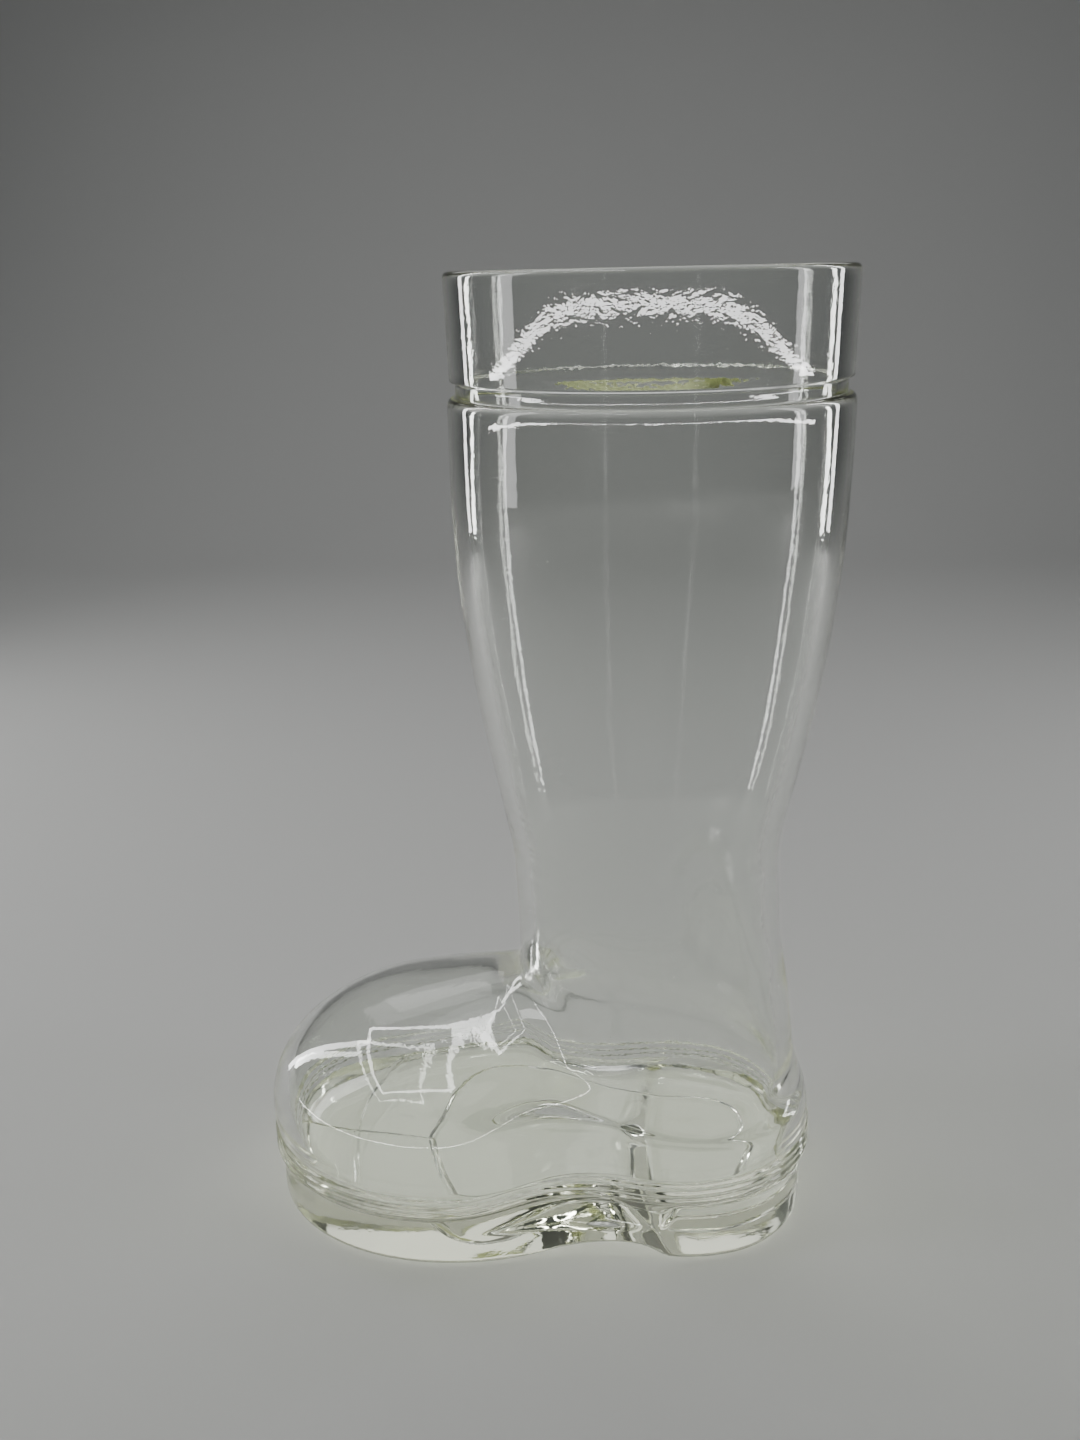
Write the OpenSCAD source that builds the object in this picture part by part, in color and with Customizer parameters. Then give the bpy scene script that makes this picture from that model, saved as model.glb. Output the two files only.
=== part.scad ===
// A half-litre drinking glass in the form of a boot.
// The leg's axis is upright, the toe points along -X, and the sole stands on the plane z = 0.
// The glass is drawn as four zones that meet face to face at level planes: the cuff, the leg,
// the foot and the sole. All sizes are in millimetres.

/* [Overall] */
// Height from the table to the rim
boot_h = 209; // [195:1:225]
// Diameter over the rim
rim_d = 84; // [80:0.5:90]

/* [Cuff] */
// Height of the plain band under the rim
cuff_h = 21.6; // [16:0.2:28]
// How much smaller the band's radius is at its lower edge
cuff_taper = 0.6; // [0:0.1:1.2]
// Thickness of the glass at the rim
lip_t = 3.4; // [2.8:0.1:4.5]
// Radius of the rim's outer edge
lip_r = 1.2; // [0.6:0.1:1.2]
// Height of the groove below the band
groove_h = 3.2; // [1.6:0.1:4]
// Depth of the groove, measured in from the leg
groove_depth = 1.8; // [1:0.1:2.6]
// Height of the rounded shoulder below the groove
shoulder_h = 2.2; // [1.5:0.1:4]

/* [Leg] */
// How much larger the calf's radius is than the lower edge of the band
calf_swell = 0.6; // [0:0.1:3]
// Distance from the rim down to the calf, the widest place of the leg
calf_drop = 35; // [32:1:45]
// Diameter of the ankle, the narrowest place
ankle_d = 59.8; // [54:0.2:64]
// Height of the level plane where the leg meets the foot
ankle_cut_z = 70; // [66:0.5:74]
// Length of the straight ankle above that plane
ankle_l = 12; // [6:0.5:18]
// How far the leg keeps its ankle width before it widens
ankle_ease = 11; // [6:0.5:20]
// How far below the calf the leg starts to narrow
calf_ease = 50; // [30:1:60]
// Thickness of the glass in the leg and the foot
wall = 4; // [3:0.1:4.6]

/* [Foot] */
// Distance from the leg's axis forward to the ball, the foot's widest place
ball_x = 46; // [42:0.5:50]
// Half the upper's width at the ball
ball_w = 40.4; // [36:0.2:43]
// Length of the toe in front of the ball
toe_l = 43.6; // [38:0.2:48]
// Distance from the leg's axis forward to the waist, the foot's narrowest place
waist_x = 14; // [10:0.5:18]
// How far the upper stands out from the ankle at the waist, at the welt
waist_out = 0.7; // [0.3:0.1:5]
// Distance from the leg's axis back to the heel's widest place
heel_x = 4; // [2:0.5:6]
// How far the upper stands out from the ankle at the sides of the heel
heel_out = 3.1; // [2.5:0.1:6]
// How far the upper stands out from the ankle at the back of the heel
back_out = 7.1; // [5:0.1:9]
// How far the toe overhangs its welt
toe_over = 2.6; // [0:0.1:4]
// How far the sides and the heel overhang their welt
side_over = 0.4; // [0:0.1:2]
// How far below the leg's lower end the vamp meets the front of the leg
vamp_drop = 16; // [12:0.5:22]
// How far below it the same edge lies at the sides of the leg
quarter_drop = 23; // [18:0.5:28]
// How far below it the heel's swell turns into the back of the leg
counter_drop = 27; // [22:0.5:32]
// Radius of the hollow edge between vamp and leg
instep_r = 4; // [2:0.5:7]
// Radius of the corner round the floor inside
floor_r = 5; // [3:0.5:8]
// Length over which the floor inside rises to that corner's height at the toe
floor_toe_l = 14.6; // [8:0.2:16]

/* [Sole] */
// Thickness of the sole, which is also the height of the floor inside
sole_h = 12; // [10:0.5:14]
// How far the tread lies inside the upper at the ball
tread_ball_in = 0.4; // [0:0.1:2]
// How far the tread lies inside the upper at the toe
tread_toe_in = 1; // [0:0.1:3]
// How far the tread stands out from the upper at the waist
tread_waist_out = 4.8; // [3:0.1:7]
// How far the tread stands out from the upper at the sides of the heel
tread_heel_out = 3; // [1.5:0.1:4]
// How far the tread lies inside the upper at the back of the heel
tread_back_in = 1.8; // [0:0.1:3]
// How far the tread is rounded under at its edge
edge_r = 2; // [1:0.1:2.6]
// Height of the flat pads that touch the table
pad_h = 0.5; // [0.3:0.1:0.8]
// Height of the sole's edge along the waist, below the scoop
shank_h = 7.6; // [6.5:0.1:9]
// Distance from the leg's axis back to the foot of the heel's front slope, in the middle
breast_x = 4.6; // [2:0.2:7]
// Radius of that slope in plan, which is curved so that it lies further back at the sides
breast_r = 139; // [110:1:250]
// Length of the heel's front slope
breast_l = 14.4; // [10:0.2:16]
// Length of the arch from the top of that slope forward to the ball
arch_l = 32; // [26:1:36]
// Height of the arch
arch_h = 4.4; // [2:0.1:5]
// How far the welt's fine ridges stand out
welt_out = 0.6; // [0.3:0.1:1]
// Height of one ridge
welt_h = 1.8; // [1.2:0.1:2.2]
// Number of ridges
welt_count = 3; // [1:1:3]

/* [Hidden] */

// Facets of the round pieces, and points along the curved ones
$fn = 96;
leg_steps = 20;
heel_steps = 10;
back_steps = 7;
front_steps = 8;
toe_steps = 12;
dome_steps = 9;
corner_steps = 4;
shank_steps = 3;
fine_steps = 6;
edge_steps = 3;
arch_steps = 8;
// Where each ridge of the welt has its points, as shares of its height
ridge_shares = [0.25, 0.75, 1];
// What a cut runs past the face it opens
overrun = 1;
// Length over which the scoop in the sole's side begins and ends, and how far up the heel's front
// slope it ends
scoop_fade = 5;
scoop_share = 0.2;
// How far the sole's side stops below the welt at the toe and the heel
ledge_drop = 0.6;
// Where the slope above the sole's side bends, as shares of its way out and up to the welt
slope_out_share = 0.7;
slope_up_share = 0.3;

glass = [0.78, 0.84, 0.80, 0.45];

// Shares that shape the guides of the upper
counter_share = 0.62;
corner_share = 0.3;
bulge_share = 2.2;
back_rise_share = 0.35;
vamp_share = 0.66;
vamp_rise_share = 0.2;
vamp_reach_share = 0.45;
back_reach_share = 0.4;
shank_share = 0.35;
// How far round from the toe the floor's longer rise goes: 0 is the toe alone, 1 is a quarter turn
floor_toe_share = 0.12;
// Share of the arch's length in which it leaves the tread softly
soft_share = 0.38;
// Share of a hollow curve's length in which it leaves its widest place softly
hollow_share = 0.45;
// Fullness of the toe and the heel in plan: 2 is an ellipse, more is squarer
toe_power = 2.1;
heel_power = 2.1;
tread_heel_power = 2.5;

rim_r = rim_d / 2;
cuff_r = rim_r - cuff_taper;
calf_r = cuff_r + calf_swell;
ankle_r = ankle_d / 2;
cuff_z = boot_h - cuff_h;
calf_z = boot_h - calf_drop;
ankle_z = ankle_cut_z + ankle_l;
groove_r = calf_r - groove_depth;
groove_z = cuff_z - groove_h;
cuff_cut_z = cuff_z - groove_h / 2;
leg_top_z = groove_z - shoulder_h;
bore_r = calf_r - wall;
lip_bore_r = rim_r - lip_t;

waist_w = ankle_r + waist_out;
heel_w = ankle_r + heel_out;
heel_l = ankle_r + back_out - heel_x;
vamp_z = ankle_cut_z - vamp_drop;
quarter_z = ankle_cut_z - quarter_drop;
counter_z = ankle_cut_z - counter_drop;
tread_ball_w = ball_w - tread_ball_in;
tread_toe_l = toe_l - tread_toe_in;
tread_waist_w = waist_w + tread_waist_out;
tread_heel_w = heel_w + tread_heel_out;
tread_heel_l = heel_l - tread_back_in;
breast_side_x = breast_x + breast_r - sqrt(pow(breast_r, 2) - pow(tread_heel_w, 2));

function lerp(a, b, t) = a + (b - a) * t;
function ease(t) = t * t * (3 - 2 * t);
function bezier(p, t) =
    pow(1 - t, 3) * p[0] + 3 * t * pow(1 - t, 2) * p[1] + 3 * t * t * (1 - t) * p[2] + pow(t, 3) * p[3];
function curve(p, steps) = [for (i = [0:steps]) bezier(p, i / steps)];
function bend(a, corner, b, steps) =
    [for (i = [1:steps - 1]) let (t = i / steps) pow(1 - t, 2) * a + 2 * t * (1 - t) * corner + t * t * b];
function arc(cx, cy, r, from, to, steps) =
    [for (i = [0:steps]) let (a = lerp(from, to, i / steps)) [cx + r * cos(a), cy + r * sin(a)]];

// The leg's side as radius and height, from the ankle up to the calf, moved in by an inset
function leg_side(inset) =
    let (r0 = ankle_r - inset, r1 = calf_r - inset)
    curve([[r0, ankle_z], [r0, ankle_z + ankle_ease], [r1, calf_z - calf_ease], [r1, calf_z]], leg_steps);

module revolved(points) color(glass) translate([leg_x, 0, 0]) rotate_extrude() polygon(points);

module cuff() revolved(concat(
    [[bore_r, cuff_cut_z], [groove_r, cuff_cut_z], [groove_r, cuff_z], [cuff_r, cuff_z]],
    arc(rim_r - lip_r, boot_h - lip_r, lip_r, 0, 90, fine_steps),
    arc(lip_bore_r + lip_r, boot_h - lip_r, lip_r, 90, 180, fine_steps)));

module leg() revolved(concat(
    [[ankle_r, ankle_cut_z]],
    leg_side(0),
    [for (p = bend([calf_r, leg_top_z], [calf_r, groove_z], [groove_r, groove_z], fine_steps)) p],
    [[groove_r, cuff_cut_z], [bore_r, cuff_cut_z]],
    [for (i = [leg_steps:-1:0]) leg_side(wall)[i]],
    [[ankle_r - wall, ankle_cut_z]]));

// Quarter of a rounded outline, from the tip at angle 0 to the side at 90 degrees
function quarter(l, w, power, steps) =
    [for (i = [0:steps]) let (a = 90 * i / steps) [l * pow(cos(a), 2 / power), w * pow(sin(a), 2 / power)]];
// Hollow curve from one place to the next, level with the foot's length at both ends
function hollow(a, b, steps) =
    let (reach = hollow_share * (b.x - a.x))
    [for (i = [1:steps]) bezier([a, [a.x + reach, a.y], [b.x - reach, b.y], b], i / steps)];
// Half of a shoe's outline, from the back of the heel to the tip of the toe on the +Y side
function half_outline(hl, hw, hp, ww, bw, tl) =
    let (
        heel = [for (p = quarter(hl, hw, hp, heel_steps)) [heel_x + p.x, p.y]],
        toe = [for (p = quarter(tl, bw, toe_power, toe_steps)) [-ball_x - p.x, p.y]])
    concat(
        heel,
        hollow([heel_x, hw], [-waist_x, ww], back_steps),
        hollow([-waist_x, ww], [-ball_x, bw], front_steps),
        [for (i = [toe_steps - 1:-1:0]) toe[i]]);
function both_sides(half) =
    concat(half, [for (i = [len(half) - 2:-1:1]) [half[i].x, -half[i].y]]);

// The upper's outline at the welt and the tread's outline, each moved in by an inset
function welt_outline(inset) = both_sides(half_outline(
    heel_l - inset, heel_w - inset, heel_power, waist_w - inset, ball_w - inset, toe_l - inset));
function tread_outline(inset) = both_sides(half_outline(
    tread_heel_l - inset, tread_heel_w - inset, tread_heel_power, tread_waist_w - inset,
    tread_ball_w - inset, tread_toe_l - inset));

// One guide of the upper, from the welt point w up to the ankle, in the upright plane through
// the leg's axis. Its points are the distance in from the welt and the height.
function frontness(w) = ease((1 - w.x / norm(w)) / 2);
function toeness(w) = pow(max(0, -w.x / norm(w)), 3);
function guide(w, inset, foot_side) =
    let (
        run = norm(w) - ankle_r + inset,
        k = frontness(w),
        t = toeness(w),
        over = lerp(side_over, toe_over, t),
        rise = lerp(back_rise_share, vamp_share, k),
        edge_z = lerp(quarter_z, vamp_z, t) - inset,
        z0 = foot_side[len(foot_side) - 1].y,
        corner = [lerp(counter_share * run, run, k), lerp(counter_z, edge_z, k)],
        slope = [(1 - counter_share) * run, ankle_cut_z - counter_z],
        into = unit([lerp(slope.x, 1, k), lerp(slope.y, vamp_rise_share, k)]),
        out = unit([lerp(slope.x, 0, k), lerp(slope.y, 1, k)]),
        round = min(instep_r + inset, corner_share * run),
        c0 = corner - round * into,
        c1 = corner + round * out,
        reach = lerp(back_reach_share * (counter_z - z0), vamp_reach_share * run, k))
    concat(
        foot_side,
        [for (i = [1:dome_steps]) bezier([
            [0, z0], [-over * bulge_share, lerp(z0, corner.y, rise)], c0 - reach * into, c0], i / dome_steps)],
        bend(c0, corner, c1, corner_steps),
        [for (i = [0:shank_steps]) bezier([
            c1, c1 + shank_share * (ankle_cut_z - c1.y) * out,
            [run, lerp(c1.y, ankle_cut_z, 1 - shank_share)], [run, ankle_cut_z]], i / shank_steps)]);
function unit(v) = v / norm(v);

// The welt's ridges as steps out from the upper's foot, and the round corner of the floor, which
// rises over a longer way at the toe
welt_side = concat([[0, sole_h]], [for (n = [0:welt_count - 1], q = ridge_shares)
    [q < 1 ? -welt_out * sin(180 * q) : 0, sole_h + (n + q) * welt_h]]);
function floor_side(w) =
    let (
        from_toe = 1 + w.x / norm(w),
        rise_l = lerp(floor_r, floor_toe_l, max(0, 1 - from_toe / floor_toe_share)),
        low = [rise_l, sole_h],
        high = [0, sole_h + floor_r])
    concat([low], bend(low, [0, sole_h], high, corner_steps), [high]);

// The points of a guide as full points in space, and a ring through the same step of every guide
function placed(w, points) = [for (p = points) let (q = w * (1 - p.x / norm(w))) [q.x, q.y, p.y]];
function rings(guides) = [for (j = [0:len(guides[0]) - 1]) [for (g = guides) g[j]]];

// Skin through a closed stack of rings: the last ring joins the first one again
function ring_faces(count, n, closed) =
    [for (j = [0:closed ? count - 1 : count - 2], i = [0:n - 1])
        let (a = j * n + i, b = j * n + (i + 1) % n, up = ((j + 1) % count) * n)
        each [[a, up + (i + 1) % n, b], [a, up + i, up + (i + 1) % n]]];

upper_outer = rings([for (w = welt_outline(0)) placed(w, guide(w, 0, welt_side))]);
upper_inner = rings([for (w = welt_outline(wall)) placed(w, guide(w, wall, floor_side(w)))]);
toe_tip = min([for (ring = upper_outer, p = ring) p.x]);

// The whole glass is moved so that the middle of its length lies over the origin
leg_x = -(toe_tip + max(rim_r, calf_r)) / 2;

module foot() {
    stack = concat(upper_outer, [for (j = [len(upper_inner) - 1:-1:0]) upper_inner[j]]);
    color(glass) translate([leg_x, 0, 0])
        polyhedron([for (ring = stack, p = ring) p], ring_faces(len(stack), len(stack[0]), true));
}

// One ring of the sole: the tread's outline moved in by an inset, then a share of the way to the
// welt's outline. Its height is a share of the way from the side's upper edge to the welt.
function scooped(x) =
    ease(max(0, min(1, min(breast_side_x - scoop_share * breast_l - x, x + ball_x) / scoop_fade)));
function side_ring(out_share, up_share) =
    let (low = tread_outline(0), high = welt_outline(0))
    [for (i = [0:len(low) - 1])
        let (q = lerp(low[i], high[i], out_share), top = lerp(sole_h - ledge_drop, shank_h, scooped(low[i].x)))
        [q.x, q.y, lerp(top, sole_h, up_share)]];
// The rounded edge under the tread, from the pads up
function under_ring(a) = [for (p = tread_outline(edge_r * (1 - sin(a)))) [p.x, p.y, edge_r * (1 - cos(a))]];
pad_angle = acos(1 - pad_h / edge_r);

module sole() color(glass) translate([leg_x, 0, 0]) difference() {
    union() {
        rings = concat(
            [for (i = [0:edge_steps]) under_ring(lerp(pad_angle, 90, i / edge_steps))],
            [side_ring(0, 0), side_ring(slope_out_share, slope_up_share), side_ring(1, 1)]);
        n = len(rings[0]);
        polyhedron(
            [for (ring = rings, p = ring) p],
            concat(
                [[for (i = [0:n - 1]) i]],
                ring_faces(len(rings), n, false),
                [[for (i = [n - 1:-1:0]) (len(rings) - 1) * n + i]]));
        linear_extrude(pad_h + overrun) polygon(tread_outline(edge_r));
    }
    arch();
}

// The arch rises gently from the ball, and falls more steeply at the heel's front slope. It is
// turned about an upright axis behind the heel.
module arch() {
    axis_x = breast_x + breast_r;
    top_x = breast_x - breast_l;
    end_x = top_x - arch_l;
    side = concat(
        curve([[end_x, 0], [end_x + arch_l * soft_share, 0],
            [top_x - arch_l * soft_share, arch_h], [top_x, arch_h]], arch_steps),
        curve([[top_x, arch_h], [top_x + breast_l / 2, arch_h],
            [breast_x - breast_l / 2, 0], [breast_x, 0]], arch_steps));
    translate([axis_x, 0, 0]) rotate_extrude()
        polygon([for (p = concat(side, [[breast_x, -overrun], [end_x, -overrun]])) [axis_x - p.x, p.y]]);
}

cuff();
leg();
foot();
sole();
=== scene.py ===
# %% [markdown]
# # A drinking glass in the form of a boot
# The real glass is pressed and blown in one piece, so this lesson builds one closed skin: the
# underside, the thick sole, the foot, the leg, the rim and back down the hollow inside. Clear
# glass hides nothing, and a join inside it would show, so one skin takes the place of the four
# solids of the construction drawing. All lengths are in metres.

# %% Load the construction drawing as a fixed frame
import bpy
import math
from mathutils import Matrix, Vector


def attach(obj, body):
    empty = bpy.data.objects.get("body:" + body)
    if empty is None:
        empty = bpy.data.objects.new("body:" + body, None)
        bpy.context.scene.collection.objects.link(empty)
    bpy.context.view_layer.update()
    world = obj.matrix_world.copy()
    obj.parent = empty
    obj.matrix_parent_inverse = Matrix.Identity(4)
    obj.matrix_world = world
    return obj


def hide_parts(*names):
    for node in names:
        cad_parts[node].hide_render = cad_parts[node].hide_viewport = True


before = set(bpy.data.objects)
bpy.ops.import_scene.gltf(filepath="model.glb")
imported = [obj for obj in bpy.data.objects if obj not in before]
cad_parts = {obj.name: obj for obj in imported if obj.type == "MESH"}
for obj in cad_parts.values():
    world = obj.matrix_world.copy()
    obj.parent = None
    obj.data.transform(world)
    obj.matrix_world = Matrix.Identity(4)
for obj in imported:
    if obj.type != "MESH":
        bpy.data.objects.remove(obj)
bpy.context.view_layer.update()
print("solids of the drawing:", ", ".join(sorted(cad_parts)))

# %% [markdown]
# ## Where the picture is taken from
# The camera comes first, because everything else is judged through it. A short lens stands
# level with the rim and looks down at the foot. The picture is taller than wide, so the lens
# is worked out on the long side.

# %% Place the camera
MM = 0.001
BOOT_H = 209 * MM
LEG_X = 24.03 * MM
PICTURE_H = 1440
FOCAL_PX = 1457
CAMERA_AT = (LEG_X - 1.18 * MM, -308.15 * MM, BOOT_H - 0.16 * MM)
CAMERA_HEADING, CAMERA_PITCH, CAMERA_ROLL = 4.3, 17.155, 1.33


def camera_turn(heading, pitch, roll):
    """The camera's turn from its heading, how far it looks down, and its tilt, in degrees."""
    h, p, r = (math.radians(a) for a in (heading, pitch, roll))
    ahead = Vector((-math.sin(h) * math.cos(p), math.cos(h) * math.cos(p), -math.sin(p)))
    level = Vector((math.cos(h), math.sin(h), 0))
    top = level.cross(ahead)
    right = level * math.cos(r) - top * math.sin(r)
    up = top * math.cos(r) + level * math.sin(r)
    return Matrix((right, up, -ahead)).transposed().to_4x4()


camera_data = bpy.data.cameras.new("camera")
camera_data.sensor_width = 36
camera_data.lens = FOCAL_PX / PICTURE_H * camera_data.sensor_width
camera_data.clip_start = 0.01
camera = bpy.data.objects.new("camera", camera_data)
turn = camera_turn(CAMERA_HEADING, CAMERA_PITCH, CAMERA_ROLL)
camera.matrix_world = Matrix.Translation(CAMERA_AT) @ turn
bpy.context.scene.collection.objects.link(camera)
bpy.context.scene.camera = camera
print(f"lens {camera_data.lens:.2f} mm")

# %% [markdown]
# ## The sizes of the glass
# These are the sizes of the construction drawing. A glassmaker would call them the mould's
# sizes. Kept in one place and by name, they let each later step say what it draws.

# %% Name the sizes
RIM_R, LIP_T, LIP_R = 42 * MM, 3.4 * MM, 1.2 * MM
CUFF_H, CUFF_TAPER = 21.6 * MM, 0.6 * MM
GROOVE_H, GROOVE_DEPTH, SHOULDER_H = 3.2 * MM, 1.8 * MM, 2.2 * MM
CALF_R, CALF_Z, ANKLE_R, ANKLE_Z, ANKLE_CUT_Z = 42 * MM, 174 * MM, 29.9 * MM, 82 * MM, 70 * MM
ANKLE_EASE, CALF_EASE, WALL = 11 * MM, 50 * MM, 4 * MM
BALL_X, BALL_W, TOE_L = 46 * MM, 40.4 * MM, 43.6 * MM
WAIST_X, WAIST_W = 14 * MM, 30.6 * MM
HEEL_X, HEEL_W, HEEL_L = 4 * MM, 33 * MM, 33 * MM
TOE_OVER, SIDE_OVER = 2.6 * MM, 0.4 * MM
VAMP_Z, QUARTER_Z, COUNTER_Z = 54 * MM, 47 * MM, 43 * MM
INSTEP_L, FLOOR_R, FLOOR_TOE_L = 6 * MM, 5 * MM, 14.6 * MM
SOLE_H, EDGE_R, SHANK_H, LEDGE_DROP = 12 * MM, 2 * MM, 7.6 * MM, 0.6 * MM
TREAD_BALL_W, TREAD_TOE_L, TREAD_WAIST_W = 40 * MM, 42.6 * MM, 35.4 * MM
TREAD_HEEL_W, TREAD_HEEL_L = 36 * MM, 31.2 * MM
BREAST_X, BREAST_R, BREAST_L = 4.6 * MM, 139 * MM, 14.4 * MM
ARCH_L, ARCH_H = 32 * MM, 4.4 * MM
WELT_OUT, WELT_H, WELT_COUNT = 0.6 * MM, 1.8 * MM, 3
WELT_FULLNESS, TREAD_FULLNESS, TOE_FULLNESS = 2.1, 2.5, 2.1
CUFF_Z = BOOT_H - CUFF_H
GROOVE_Z = CUFF_Z - GROOVE_H
BREAST_SIDE_X = BREAST_X + BREAST_R - math.sqrt(BREAST_R**2 - TREAD_HEEL_W**2)
SHOULDER_Z = GROOVE_Z - SHOULDER_H

# %% [markdown]
# ## Drawing tools
# A few small tools draw every curve of the glass: a share between two values, a soft start
# and stop, a curve pulled by two handles, a rounded corner and a straight line.

# %% Make the drawing tools


def lerp(a, b, t):
    return a + (b - a) * t


def ease(t):
    t = min(max(t, 0), 1)
    return t * t * (3 - 2 * t)


def bezier(a, b, c, d, t):
    s = 1 - t
    return a * s**3 + b * 3 * t * s**2 + c * 3 * t * t * s + d * t**3


def curve(a, b, c, d, steps, first=1):
    """Points along a curve pulled by two handles; first=1 leaves out the starting point."""
    return [bezier(a, b, c, d, i / steps) for i in range(first, steps + 1)]


def corner(a, tip, b, steps):
    """A rounded corner from a to b, with both of its ends."""
    shares = [i / steps for i in range(steps + 1)]
    return [a * (1 - t) ** 2 + tip * 2 * t * (1 - t) + b * t**2 for t in shares]


def line(a, b, steps):
    """Points of a straight line, without its starting point."""
    return [a.lerp(b, i / steps) for i in range(1, steps + 1)]


def pair(x, z):
    """A point in a flat drawing."""
    return Vector((x, z))


# %% [markdown]
# ## The print of the sole
# Seen from above, a shoe is a half oval at the toe, a half oval at the heel and a hollow waist
# between them. One number, from 0 at the back of the heel to 4 at the tip of the toe, walks
# along it, so that the upper and the tread can be joined point by point.

# %% Draw the outline as a function


def quarter(length, width, fullness, t):
    """A quarter of an oval, squarer the fuller it is."""
    a, power = math.pi / 2 * t, 2 / fullness
    return pair(length * math.cos(a) ** power, width * max(math.sin(a), 0) ** power)


def hollow(a, b, t):
    """A soft S from one width to the next."""
    reach = pair(0.45 * (b.x - a.x), 0)
    return bezier(a, a + reach, b - reach, b, t)


def outline(t, sizes, fullness, inset):
    """A point on the +Y side. sizes: the heel's length and width, the waist, the ball, the toe."""
    heel_l, heel_w, waist_w, ball_w, toe_l = (size - inset for size in sizes)
    heel, waist, ball = pair(HEEL_X, heel_w), pair(-WAIST_X, waist_w), pair(-BALL_X, ball_w)
    if t <= 1:
        return pair(HEEL_X, 0) + quarter(heel_l, heel_w, fullness, t)
    if t <= 2:
        return hollow(heel, waist, t - 1)
    if t <= 3:
        return hollow(waist, ball, t - 2)
    q = quarter(toe_l, ball_w, TOE_FULLNESS, 4 - t)
    return pair(-BALL_X - q.x, q.y)


def welt_point(t, inset=0.0):
    sizes = HEEL_L, HEEL_W, WAIST_W, BALL_W, TOE_L
    return outline(t, sizes, WELT_FULLNESS, inset)


def tread_point(t, inset=0.0):
    sizes = TREAD_HEEL_L, TREAD_HEEL_W, TREAD_WAIST_W, TREAD_BALL_W, TREAD_TOE_L
    return outline(t, sizes, TREAD_FULLNESS, inset)


# %% [markdown]
# ## Even steps round the glass
# The foot is long and the leg is round. Steps that are even along the sole crowd on the leg's
# sides, and steps that are even round the leg leave the toe coarse, so the steps are shared
# half and half between the two ways of counting.

# %% Spread the steps round the glass
AROUND = 224


def spread(count):
    """Places on one side's outline, from 0 at the heel to 4 at the toe, in even steps."""
    fine = 4000
    walk = [welt_point(4 * i / fine) for i in range(fine + 1)]
    run, turn = [0.0], [0.0]
    for p, q in zip(walk, walk[1:]):
        run.append(run[-1] + (q - p).length)
        turn.append(turn[-1] + abs(math.atan2(q.y, q.x) - math.atan2(p.y, p.x)))
    mixed = [0.5 * way / run[-1] + 0.5 * a / turn[-1] for way, a in zip(run, turn)]
    steps, k = [], 0
    for i in range(count + 1):
        while k < fine - 1 and mixed[k + 1] < i / count:
            k += 1
        part = (i / count - mixed[k]) / (mixed[k + 1] - mixed[k])
        steps.append(4 * (k + min(max(part, 0), 1)) / fine)
    return steps


half_steps = spread(AROUND // 2)
print(f"{AROUND} steps round the glass")

# %% [markdown]
# ## The sole
# The bottom is thick, solid glass. Its tread rests flat under the ball and the heel, and in
# between an arch rises from the ball and drops again at the heel's front. The arch is turned
# about an upright axis behind the heel, so the heel's front is curved in plan. The edge is
# rounded under, and at the waist the side is scooped back to the narrower upper.

# %% Draw the sole's side and underside
UNDER_STEPS, EDGE_STEPS = 26, 9
FRONT_GRIP, BREAST_GRIP = 0.38, 0.5
HALVINGS = 30


def arch(x, y):
    """Height of the underside at a place under the foot. Halving finds the curve's place."""
    axis_x = BREAST_X + BREAST_R
    x = axis_x - math.hypot(x - axis_x, y)
    top = BREAST_X - BREAST_L
    start = top - ARCH_L
    if not start < x < BREAST_X:
        return 0.0
    a, b = (start, top) if x < top else (BREAST_X, top)
    grip = FRONT_GRIP if x < top else BREAST_GRIP
    low, high = 0.0, 1.0
    for _ in range(HALVINGS):
        t = (low + high) / 2
        place = bezier(a, lerp(a, b, grip), lerp(b, a, grip), b, t)
        short = (place - a) * (b - a) < (x - a) * (b - a)
        low, high = (t, high) if short else (low, t)
    return bezier(0.0, 0.0, ARCH_H, ARCH_H, t)


def scooped(x):
    """1 along the waist, where the side is scooped back, and 0 at the ball and the heel."""
    return ease(min(BREAST_SIDE_X - 0.2 * BREAST_L - x, x + BALL_X) / (5 * MM))


def sole_points(t, side):
    """Points of one line from under the leg's axis out to the tread's edge and up to the welt."""
    points = []
    foot_of_edge = tread_point(t, EDGE_R)
    for i in range(1, UNDER_STEPS + 1):
        p = foot_of_edge * math.sin(math.pi / 2 * i / UNDER_STEPS)
        points.append((p.x, p.y, arch(p.x, p.y)))
    for i in range(1, EDGE_STEPS + 1):
        a = math.pi / 2 * i / EDGE_STEPS
        p = tread_point(t, EDGE_R * (1 - math.sin(a)))
        points.append((p.x, p.y, max(EDGE_R * (1 - math.cos(a)), arch(p.x, p.y))))
    low, high = tread_point(t), welt_point(t)
    top = lerp(SOLE_H - LEDGE_DROP, SHANK_H, scooped(low.x))
    out = (high - low).length
    soft = min(0.8 * MM, 0.4 * out + 0.2 * MM)
    bend_at = pair(0.7, lerp(top, SOLE_H, 0.3))
    ledge = pair(0, top)
    rise = line(pair(0, max(EDGE_R, arch(low.x, low.y))), pair(0, top - soft), 6)
    rise += corner(pair(0, top - soft), ledge, ledge.lerp(bend_at, 0.45), 5)[1:]
    rise += corner(rise[-1], bend_at, pair(1, SOLE_H), 4)[1:]
    for p in rise:
        q = low.lerp(high, p.x)
        points.append((q.x, q.y, p.y))
    return [(x, side * y, z) for x, y, z in points]


print(f"arch {max(arch(-x * MM, 0) for x in range(40)) / MM:.1f} mm high")

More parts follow.
